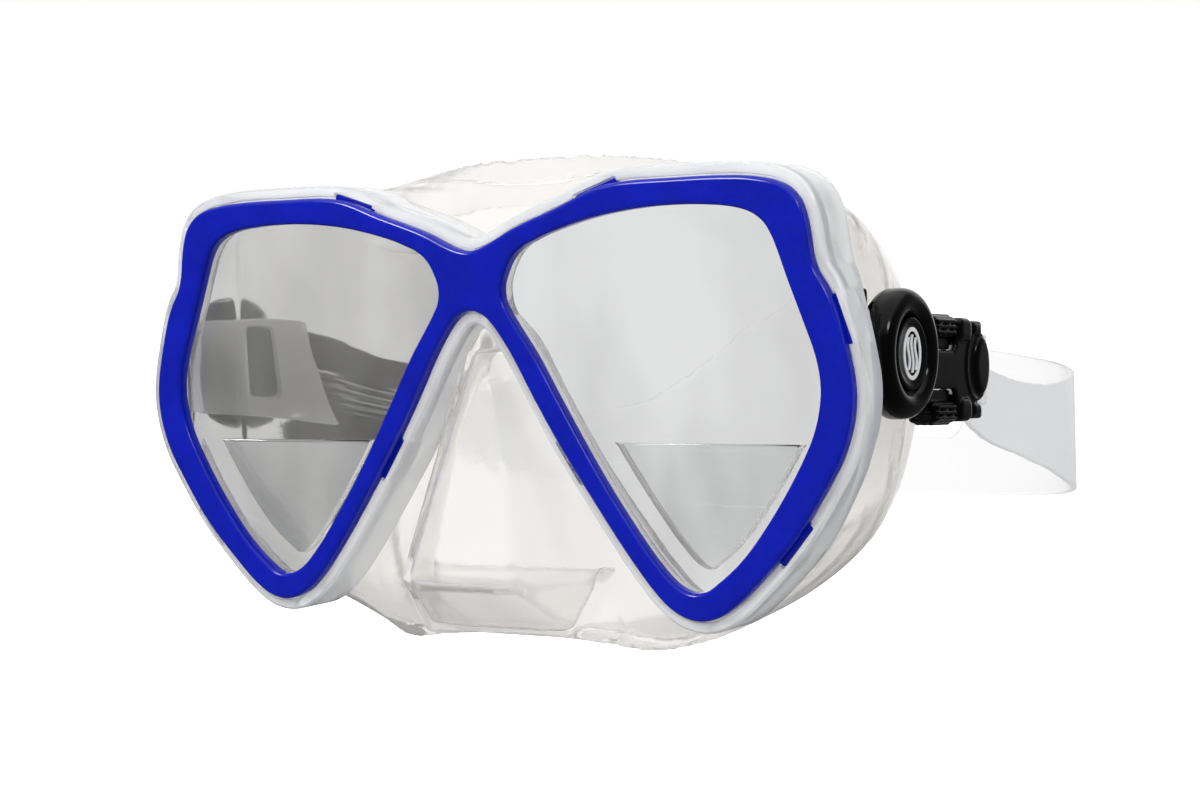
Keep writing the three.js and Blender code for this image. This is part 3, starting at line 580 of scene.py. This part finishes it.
def finished(obj, material, body, nodes=(), angle=32):
    """Gives a piece its look and ties it to the frame."""
    obj.data.materials.clear()
    obj.data.materials.append(material)
    smooth(obj, angle)
    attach(obj, body)
    if nodes:
        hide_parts(*nodes)
    return obj


# ---------------------------------------------------------------- bezel, frame and glass

def along_depth(place):
    """How far a place lies behind the lens plane, in millimetres."""
    return place.y / MM - LENS_PLANE


bezel_rings = rings_at("bezel", BEZEL_FRONT + BEZEL_BEVEL * MM)
OUTLINE = curve_through(bezel_rings[0], 4)
windows = [curve_through(ring, 6) for ring in bezel_rings[1:3]]
WINDOW = next(loop for loop in windows if sum(x for x, _ in loop) > 0)
FRONT = BEZEL_FRONT / MM - LENS_PLANE
BEZEL_BACK = 0.8
TAB_HALF_LENGTH, TAB_HALF = 4.5, 0.75
# each tab of the wearer's left half: its middle, the way it runs, and how deep it reaches
TABS = (
    ((27.5, 37.6), (9, 3), 4.2), ((75.3, 13.6), (3, -8.6), 3.6),
    ((65.6, -25.2), (-6.3, -7.6), 4.2), ((20.6, -11.2), (-5.5, 8.4), 4.2),
)
SEAT_FRONT, SEAT_BACK = 1.1, 4.65
SLOT_FRONT, SLOT_BACK = -1, 5.9
FRAME_LIMIT = (74.4, 4.0, 1.9)
FRAME_EDGE = (
    (2.1, SEAT_FRONT), (2.1, 0.4), (1.98, 0.12), (1.7, 0.0), (0.9, 0.0), (0.45, 0.1),
    (0.13, 0.42), (0, 0.9), (0, 10.2), (0.12, 10.65), (0.42, 10.92), (0.8, 11.0),
    (1.3, 11.0), (1.75, 10.85), (2.0, 10.3), (2.0, SEAT_BACK),
)


def tab_outline(at, along, long, thick):
    """A rectangle round a point, from its half length along a direction and its half width."""
    run = Vector(along).normalized()
    side = Vector((-run.y, run.x))
    corners = ((-1, -1), (1, -1), (1, 1), (-1, 1))
    return [tuple(Vector(at) + run * a * long + side * b * thick) for a, b in corners]


def tab_plates(name, grow, low, high, round_edge):
    """The bezel's tabs, or the cutters of their slots, which all end at one depth."""
    made = []
    for at, along, back in TABS:
        loop = tab_outline(at, along, TAB_HALF_LENGTH + grow, TAB_HALF + grow)
        profile = edge_profile(low, high or back, 0.02, round_edge, 2)
        for points in (loop, mirrored(loop)):
            made.append(plate(name, rounded_corners(points, 0.4, 3), profile))
    return made


def make_bezel():
    """The blue trim with its tabs."""
    outer_edge = edge_profile(FRONT, BEZEL_BACK, 0.95, 0.15, 6)
    window_edge = edge_profile(FRONT, BEZEL_BACK, 0.8, 0.15, 6)
    holes = (WINDOW, mirrored(WINDOW))
    body = plate("blue_bezel", OUTLINE, outer_edge, holes=holes, hole_edge=window_edge)
    combined(body, tab_plates("tab", 0, 0.5, None, 0.25), "UNION")
    finished(body, BLUE, "mask", ["bezel"])


def box_plate(name, a, b, low, high, place, corner=0.6, edge=0.3):
    """A block with rounded corners and edges, from its two spans and its low and high faces."""
    loop = [(a[0], b[0]), (a[1], b[0]), (a[1], b[1]), (a[0], b[1])]
    return plate(name, rounded_corners(loop, corner), edge_profile(low, high, edge, edge), place)


# the side of the frame is lower at the temples, which shows the lug: depth and height
TEMPLE_CUT = (
    (5.6, -10), (5.6, 0), (6, 8), (7, 17.5), (12, 26), (14, 26), (14, -34), (12, -34), (8, -18.5),
)
TEMPLE_CUT_SPAN = (55, 95)
LUG_ROOT = 74.6
LUG_FRONT, LUG_BACK = 4.15, 36
LUG_HEIGHTS = (-3, 15)
WINDOW_DEPTHS, WINDOW_HEIGHTS = (17.4, 27), (0.6, 13.6)


def lug(side):
    """The arm at the temple that carries a buckle, with its window."""
    outline = [
        (LUG_ROOT, LUG_FRONT), (LUG_ROOT, 10), (LUG_INNER, 15.9), (LUG_INNER, LUG_BACK),
        (LUG_OUTER, LUG_BACK), (LUG_OUTER, 16.2), (LUG_ROOT + LUG_THICK, 10.3),
        (LUG_ROOT + LUG_THICK, LUG_FRONT),
    ]
    loop = rounded_corners(outline, 1.6, 5)
    wall = plate("lug", loop, edge_profile(*LUG_HEIGHTS, 0.5, 0.5), upright_place(side))
    low, high = LUG_INNER - LUG_THICK, LUG_OUTER + LUG_THICK
    hole = box_plate("hole", WINDOW_DEPTHS, WINDOW_HEIGHTS, low, high, temple_place(side), 1.4, 0.02)
    return combined(wall, [hole], "DIFFERENCE")


def temple_cut(side):
    """What is taken off the side of the frame at a temple."""
    profile = edge_profile(*TEMPLE_CUT_SPAN, 0.02, 0.02, 1)
    return plate("temple_cut", rounded_corners(TEMPLE_CUT, 2.0, 4), profile, temple_place(side))


def make_frame():
    """The clear frame round both windows, with its slots and temple lugs."""
    opening = offset(WINDOW, 2.3)
    body = plate(
        "clear_frame", offset(OUTLINE, FRAME_RIM), FRAME_EDGE, holes=(opening, mirrored(opening)),
        hole_edge=((0, SEAT_FRONT), (0, SEAT_BACK)), limit=FRAME_LIMIT,
    )
    combined(body, [temple_cut(side) for _, side in SIDES], "DIFFERENCE")
    combined(body, tab_plates("slot", GAP, SLOT_FRONT, SLOT_BACK, 0.02), "DIFFERENCE")
    combined(body, [lug(side) for _, side in SIDES], "UNION")
    finished(body, CLEAR, "mask", ["frame"])


def window_glass(name, side):
    """A lens, which reaches a little behind the bezel all round."""
    pane = WINDOW if side > 0 else mirrored(WINDOW)
    profile = edge_profile(along_depth(LENS_LOW), along_depth(LENS_HIGH), 0.35, 0.35, 2)
    glass = plate(f"{name}_window_glass", offset(pane, 2), profile)
    finished(glass, GLASS, "mask", [f"{name}_lens"])


def reader_glass(name, side):
    """The reading segment behind the lower part of a lens."""
    loop = [point for point in offset(WINDOW, -4) if point[1] <= READER_HIGH.z / MM]
    profile = edge_profile(along_depth(READER_LOW), along_depth(READER_HIGH), 0.3, 0.3, 2)
    reader = plate(f"{name}_reader_glass", loop if side > 0 else mirrored(loop), profile)
    finished(reader, READER_GLASS, "mask", [f"{name}_reader_lens"])


make_bezel()
make_frame()
for name, side in SIDES:
    window_glass(name, side)
    reader_glass(name, side)

# ---------------------------------------------------------------- silicone

ROUNDED = 80
skirt = remeshed(node_copy("silicone_skirt", "skirt"), 0.6, 14)
finished(skirt, SKIRT_SILICONE, "mask", ["skirt"], ROUNDED)
strap = remeshed(node_copy("silicone_strap", "strap"), 0.4, 8)
finished(strap, STRAP_SILICONE, "left_buckle", ["strap"], ROUNDED)

# ---------------------------------------------------------------- buckles

# in a buckle, a place is given by length from the pivot, height across it and distance outwards
BODY_V = -2.8
ARM_INNER, BODY_HALF = 7.2, 9.3
ARM_ENDS = (23, 34.9)
SHOULDER_ENDS, SHOULDER_INNER = (23.2, 29.4), 5.2
KNOB_ENDS, KNOB_INNER = (29.8, 34.4), 6.2
WEB_ENDS, WEB_INNER = (23, 25.4), 4.6
FLOOR_ENDS, FLOOR_HALF = (8, 24), 1.4
END_CAP_LEVEL = BODY_V + 0.8
COVER = (
    (7, -3.6), (22.6, -3.6), (23.6, -8.2), (27.5, -8.2), (31.5, -6.6), (35.6, -4.6), (37.8, -1.6),
    (38.2, 0.8), (37.8, 3.2), (35.6, 6.2), (31.5, 7.4), (27.5, 8.2), (23.6, 8.2), (22.6, 3.6), (7, 3.6),
)
PUCK_RADIUS, PIN_HOLE = 11.8, 3.3
HEAD_ENDS, HEAD_INNER, HEAD_OUTER = (12.2, 22.4), 6, 9.9
STEM_ENDS, STEM_FOOT = (15.6, 18.4), 3.6
SLIDE_ENDS, SLIDE_FOOT = (12.6, 22.2), 3.75
RIDGE_ENDS, RIB_ENDS = (13.0, 21.6), (13.0, 21.8)
RIDGE_HALF, RIB_HALF = 0.32, 0.34
CLIP_THICK = 2.2
HUB_LOW, HUB_TOP = PUCK_OUTER - 1.6, PUCK_OUTER - 0.95
EMBLEM_SUNK, EMBLEM_PROUD = 0.05, 0.22


def shifted(points, v):
    """An outline moved up."""
    return [(a, b + v) for a, b in points]


def span(near, far):
    """Two limits in rising order."""
    return min(near, far), max(near, far)


def puck(place):
    """The rounded ring round the hub."""
    outer, inner, wide = PUCK_OUTER, PUCK_INNER, PUCK_RADIUS
    profile = [
        (PIN_HOLE, inner), (wide - 1.7, inner), (wide - 0.9, inner + 0.35), (wide - 0.35, inner + 1.0),
        (wide, inner + 1.9), (wide, outer - 3.0), (wide - 0.1, outer - 2.1), (wide - 0.4, outer - 1.3),
        (wide - 0.9, outer - 0.65), (wide - 1.6, outer - 0.2), (wide - 2.4, outer),
        (wide - 3.3, outer - 0.1), (wide - 4.05, outer - 0.45), (wide - 4.6, outer - 1.0),
        (wide - 4.85, outer - 1.5), (wide - 4.9, outer - 1.9), (PIN_HOLE, outer - 1.9),
    ]
    return lathe("puck", profile, place, count=128)


def body_side(place, way):
    """What a buckle body has above (way 1) or below (way -1) its middle."""
    top = BODY_OUTER
    far = BODY_V + way * BODY_HALF
    arm = span(BODY_V + way * ARM_INNER, far)
    shoulder = span(BODY_V + way * SHOULDER_INNER, far + way * 0.5)
    knob = span(BODY_V + way * KNOB_INNER, far - way * 0.2)
    web = span(BODY_V + way * WEB_INNER, far)
    return [
        box_plate("arm", ARM_ENDS, arm, BASE_INNER, top - 0.2, place, 1.0, 0.5),
        box_plate("shoulder", SHOULDER_ENDS, shoulder, top - 4.4, top + 0.35, place, 2.0, 1.2),
        box_plate("knob", KNOB_ENDS, knob, top - 4.0, top + 0.2, place, 1.9, 1.2),
        box_plate("web", WEB_ENDS, web, top - 5.6, top - 0.4, place, 0.5, 0.3),
    ]


def buckle_body(name, side):
    """The puck, the cover behind it and the arms that hold the roller."""
    place = buckle_place(side)
    top = BODY_OUTER
    cover = rounded_corners(shifted(COVER, BODY_V), 1.4, 5)
    cap = ellipse(3.7, 5.8, 72, (34.0, END_CAP_LEVEL))
    ring = ellipse(5.6, 6.8, 72, (32.4, END_CAP_LEVEL))
    ring_hole = ellipse(4.6, 6.1, 72, (33.0, END_CAP_LEVEL))
    ring_edge = edge_profile(top - 1.4, top - 0.05, 0.1, 0.5, 4)
    across = (BODY_V - FLOOR_HALF, BODY_V + FLOOR_HALF)
    parts = [
        puck(place),
        plate("cover", cover, edge_profile(top - 1.3, top - 0.35, 0.1, 0.6), place),
        plate("end_cap", cap, edge_profile(top - 1.4, top + 0.5, 0.1, 1.3, 6), place),
        plate("end_ring", ring, ring_edge, place, holes=[ring_hole]),
        box_plate("floor", FLOOR_ENDS, across, top - 2.7, top - 1.0, place),
    ]
    for way in (-1, 1):
        parts.extend(body_side(place, way))
    body = remeshed(joined(f"{name}_buckle_shell", parts), 0.2, 5)
    finished(body, BLACK, f"{name}_buckle", [f"{name}_buckle_body"], ROUNDED)


def buckle_button(name, side, level, way):
    """A squeeze button with ridges on its face and ribs on the side that is pressed."""
    place = buckle_place(side)
    top = BODY_OUTER
    near, far = BODY_V + way * HEAD_INNER, BODY_V + way * HEAD_OUTER
    foot = BODY_V + way * STEM_FOOT
    slide = BODY_V + way * SLIDE_FOOT
    parts = [
        box_plate("head", HEAD_ENDS, span(near, far), top - 5.6, top - 0.3, place, 1.1, 0.6),
        box_plate("stem", STEM_ENDS, span(foot, near + way), top - 6.6, top - 3.8, place, 0.4, 0.3),
        box_plate("slide", SLIDE_ENDS, span(slide, near + way), top - 1.95, top - 1.5, place, 0.4, 0.15),
    ]
    for k in range(3):
        at = BODY_V + way * (6.9 + 1.05 * k)
        ridge = (at - RIDGE_HALF, at + RIDGE_HALF)
        parts.append(box_plate("ridge", RIDGE_ENDS, ridge, top - 1.2, top + 0.35, place, 0.25, 0.3))
    grip = span(far - way * 0.8, far + way * 0.45)
    for k in range(3):
        at = top - 1.6 - 1.3 * k
        parts.append(box_plate("rib", RIB_ENDS, grip, at - RIB_HALF, at + RIB_HALF, place, 0.3, 0.3))
    button = remeshed(joined(f"{name}_{level}_squeeze_button", parts), 0.2, 3)
    button_body = f"{name}_{level}_button"
    finished(button, BLACK_SATIN, button_body, [button_body], ROUNDED)


def buckle_base(name, side):
    """The clip on the temple lug, with the hook that shows above the puck."""
    place = temple_place(side)
    low, high = BASE_INNER, BASE_INNER + CLIP_THICK
    parts = [
        box_plate("clasp", (17, 33), (-1.5, 14.5), low, high, place, 2.0, 0.45),
        box_plate("hook", (13.8, 21), (15.4, 18.6), low, high, place, 0.8, 0.45),
        box_plate("bridge", (17, 21), (13.5, 18.4), low, high, place, 0.6, 0.45),
        box_plate("key", (17.75, 26.65), (0.95, 13.25), LUG_INNER + 0.35, low + 0.4, place, 1.2, 0.3),
    ]
    body = remeshed(joined(f"{name}_clip_base", parts), 0.25, 3)
    finished(body, BLACK, "mask", [f"{name}_buckle_base"], ROUNDED)


def button_spring(name, side):
    """The spring between the two buttons: the CAD spring's shape in drawn steel, tied to the buckle."""
    spring = node_copy(f"{name}_coil_spring", f"{name}_button_spring")
    finished(spring, STEEL, f"{name}_buckle", [f"{name}_button_spring"], 60)
    across = buckle_place(side)(0, 1, 0) - buckle_place(side)(0, 0, 0)
    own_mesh(spring)


def wave(level, reach, thick, rise):
    """A ribbon that follows a wave, as an outline."""
    steps = 28
    line = [
        (-reach + 2 * reach * i / steps, rise * math.sin(math.pi * 2 * i / steps))
        for i in range(steps + 1)
    ]
    lower = [(level + b - thick / 2, a) for a, b in line]
    upper = [(level + b + thick / 2, a) for a, b in reversed(line)]
    return lower + upper


def hub(name, side):
    """The disc in the puck, with a plain emblem of three waves in an oval."""
    place = buckle_place(side)
    low, top = HUB_LOW, HUB_TOP
    profile = [
        (0.0, low), (6.2, low), (6.55, low + 0.15), (6.6, low + 0.4), (6.5, top + 0.12),
        (6.2, top + 0.22), (5.7, top + 0.16), (5.3, top), (0.0, top),
    ]
    disc = lathe(f"{name}_hub_disc", profile, place)
    finished(disc, BLACK, f"{name}_buckle", [f"{name}_hub_cap"])
    sunk, proud = top - EMBLEM_SUNK, top + EMBLEM_PROUD
    oval = edge_profile(sunk, proud, 0.02, 0.08, 2)
    ribbon = edge_profile(sunk, proud, 0.01, 0.06, 2)
    parts = [plate("ring", ellipse(3.75, 4.75), oval, place, holes=[ellipse(3.0, 4.0)])]
    for level, reach in ((-1.5, 2.9), (0.0, 3.4), (1.5, 2.9)):
        parts.append(plate("wave", wave(level, reach, 0.75, 0.42), ribbon, place))
    emblem = joined(f"{name}_wave_emblem", parts)
    finished(emblem, SILVER, f"{name}_buckle")


# CAD nodes whose shape stays, with what they are made of
KEPT_NODES = (
    ("pivot_pin", STEEL), ("pawl_pin", STEEL), ("roller_axle", STEEL),
    ("pawl", BLACK_SATIN), ("roller", BLACK_SATIN),
)

for name, side in SIDES:
    buckle_body(name, side)
    buckle_button(name, side, "upper", 1)
    buckle_button(name, side, "lower", -1)
    buckle_base(name, side)
    hub(name, side)
    button_spring(name, side)
    for node, look in KEPT_NODES:
        for material_slot in frame["nodes"][f"{name}_{node}"].material_slots:
            material_slot.material = look

# ---------------------------------------------------------------- camera, light and floor

CAMERA_AT = Vector((0.2511, -0.3992, 0.0220))
CAMERA_TO = Vector((0.0271, -0.040, 0.0))
CAMERA_ROLL = math.radians(-1.88)
CAMERA_LENS = 70.46


def add_camera():
    """The camera at the front left, turned a little about its own axis."""
    data = bpy.data.cameras.new("camera")
    data.lens = CAMERA_LENS
    data.sensor_width = 36
    camera = new_object("camera", data)
    forward = (CAMERA_TO - CAMERA_AT).normalized()
    right = forward.cross(Vector((0, 0, 1))).normalized()
    above = right.cross(forward)
    turned = right * math.cos(CAMERA_ROLL) + above * math.sin(CAMERA_ROLL)
    up = above * math.cos(CAMERA_ROLL) - right * math.sin(CAMERA_ROLL)
    camera.matrix_world = Matrix((
        (turned.x, up.x, -forward.x, CAMERA_AT.x),
        (turned.y, up.y, -forward.y, CAMERA_AT.y),
        (turned.z, up.z, -forward.z, CAMERA_AT.z),
        (0, 0, 0, 1),
    ))
    bpy.context.scene.camera = camera


def area_light(name, at, size, power):
    """A round soft lamp that points at the origin."""
    data = bpy.data.lights.new(name, "AREA")
    data.shape = "DISK"
    data.size = size
    data.energy = power
    lamp = new_object(name, data)
    lamp.location = at
    lamp.rotation_euler = (-Vector(at)).to_track_quat("-Z", "Y").to_euler()


SKY_TOWARDS = Vector((-0.5, 0.85, 0.0)).normalized()
SKY_BASE = 0.11
SKY_THROUGH = 0.72
WALL_EDGE = (0.55, 0.86)
CEILING_EDGE = (0.45, 0.85)
FLOOR_DIRECT = 0.72
FLOOR_DROP = 0.0005
FLOOR_REACH = 6000


def for_each_ray(tree, mirrored_light, direct):
    """A light level for each kind of ray.

    Reflections get the given level, the camera gets the plain one, and rays through clear
    parts or off dull ones get the given level lifted to a lowest value.
    """
    rays = tree.nodes.new("ShaderNodeLightPath")
    lifted = tree.nodes.new("ShaderNodeMath")
    lifted.operation = "MAXIMUM"
    lifted.inputs[1].default_value = SKY_THROUGH
    tree.links.new(mirrored_light, lifted.inputs[0])
    level = mirrored_light
    for ray in ("Is Diffuse Ray", "Is Transmission Ray", "Is Camera Ray"):
        choose = tree.nodes.new("ShaderNodeMix")
        tree.links.new(rays.outputs[ray], choose.inputs[0])
        tree.links.new(level, choose.inputs[2])
        if ray == "Is Camera Ray":
            choose.inputs[3].default_value = direct
        else:
            tree.links.new(lifted.outputs[0], choose.inputs[3])
        level = choose.outputs[0]
    return level


def add_world():
    """White for the camera, and for reflections a white wall and ceiling in a dim room."""
    world = bpy.data.worlds.new("studio")
    world.use_nodes = True
    tree = world.node_tree
    along = tree.nodes.new("ShaderNodeTexCoord").outputs["Generated"]

    def lobe(direction, start, end):
        turned = tree.nodes.new("ShaderNodeVectorMath")
        turned.operation = "DOT_PRODUCT"
        turned.inputs[1].default_value = direction
        tree.links.new(along, turned.inputs[0])
        spread = tree.nodes.new("ShaderNodeMapRange")
        spread.interpolation_type = "SMOOTHSTEP"
        spread.inputs["From Min"].default_value = start
        spread.inputs["From Max"].default_value = end
        spread.inputs["To Min"].default_value = SKY_BASE
        spread.inputs["To Max"].default_value = 1.0
        tree.links.new(turned.outputs["Value"], spread.inputs["Value"])
        return spread.outputs["Result"]

    wall = lobe(SKY_TOWARDS, *WALL_EDGE)
    ceiling = lobe(Vector((0, 0, 1)), *CEILING_EDGE)
    brighter = tree.nodes.new("ShaderNodeMath")
    brighter.operation = "MAXIMUM"
    tree.links.new(wall, brighter.inputs[0])
    tree.links.new(ceiling, brighter.inputs[1])
    backdrop = tree.nodes["Background"]
    backdrop.inputs["Color"].default_value = (1, 1, 1, 1)
    tree.links.new(for_each_ray(tree, brighter.outputs[0], 1.0), backdrop.inputs["Strength"])
    bpy.context.scene.world = world


def add_floor():
    """A pale floor that carries on the wall and the dim room of the world in reflections."""
    corners = ((-1, -1), (1, -1), (1, 1), (-1, 1))
    points = [(a * FLOOR_REACH, b * FLOOR_REACH, 0) for a, b in corners]
    floor = from_lists("floor", points, [(0, 1, 2, 3)])
    floor.location.z = cad_box[0][2] - FLOOR_DROP
    white = (1, 1, 1)
    paint = Shader("floor_paint", Roughness=1.0, Specular_IOR_Level=0.0, Emission_Color=white)
    nodes, links = paint.tree.nodes, paint.tree.links
    away = nodes.new("ShaderNodeVectorMath")
    away.operation = "NORMALIZE"
    links.new(paint.place, away.inputs[0])
    facing = nodes.new("ShaderNodeVectorMath")
    facing.operation = "DOT_PRODUCT"
    facing.inputs[1].default_value = SKY_TOWARDS
    links.new(away.outputs["Vector"], facing.inputs[0])
    mirrored_light = paint.ranged(facing.outputs["Value"], SKY_BASE, 1.0, *WALL_EDGE)
    seen = nodes.new("ShaderNodeLightPath").outputs["Is Camera Ray"]
    pale = paint.ramp(paint.noise(3, 2), [(0.3, (0.9, 0.9, 0.9)), (0.7, (0.92, 0.92, 0.92))])
    colour = nodes.new("ShaderNodeMix")
    colour.data_type = "RGBA"
    links.new(seen, colour.inputs["Factor"])
    colour.inputs[6].default_value = (0, 0, 0, 1)
    links.new(pale, colour.inputs[7])
    links.new(colour.outputs[2], paint.surface.inputs["Base Color"])
    paint.drive("Emission Strength", for_each_ray(paint.tree, mirrored_light, FLOOR_DIRECT))
    floor.data.materials.append(paint.material)
    floor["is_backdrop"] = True


def add_studio():
    """The room, the floor and two soft lamps."""
    add_world()
    add_floor()
    area_light("key", (-0.55, -0.95, 0.8), 0.34, 8)
    area_light("fill", (0.95, -0.35, 0.75), 0.25, 2.5)
    bpy.context.scene.view_settings.view_transform = "Standard"


add_camera()
add_studio()

boxes = {"cad": cad_box, "visual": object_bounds()}
{key: [list(corner) for corner in box] for key, box in boxes.items()}
